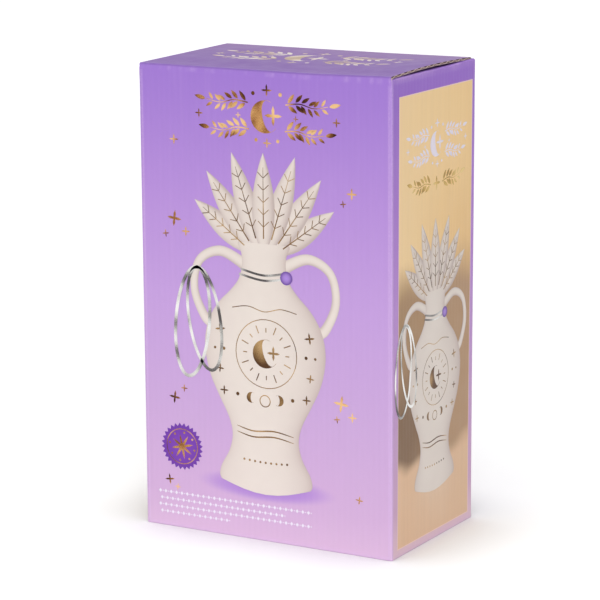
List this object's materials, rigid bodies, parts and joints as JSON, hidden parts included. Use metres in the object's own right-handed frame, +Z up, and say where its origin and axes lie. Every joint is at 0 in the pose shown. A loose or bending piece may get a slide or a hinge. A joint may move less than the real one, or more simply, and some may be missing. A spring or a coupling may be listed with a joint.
{
  "type": "printed cardboard carton",
  "caption": "Tall retail carton of thin corrugated board with a front-hinged tuck lid, dust flaps and a glued crash-lock base.",
  "frame": {"origin": "middle of the base, on the surface that the carton stands on", "axes": "+Z up, the front panel faces -Y, +X to the right seen from the front"},
  "size_m": [0.15, 0.092, 0.251],
  "materials": {
    "printed_board": "matt laminated lilac print on white-lined corrugated board",
    "printed_lid": "matt laminated violet print on white-lined corrugated board"
  },
  "bodies": {
    "carton": {"carton_body": "printed_board"},
    "lid": {"lid": "printed_lid"}
  },
  "joints": [
    {"name": "lid_hinge", "type": "hinge", "parent": "carton", "child": "lid", "pos_m": [0, -0.046, 0.24785], "axis": [1, 0, 0], "range_deg": [0, 170]}
  ]
}
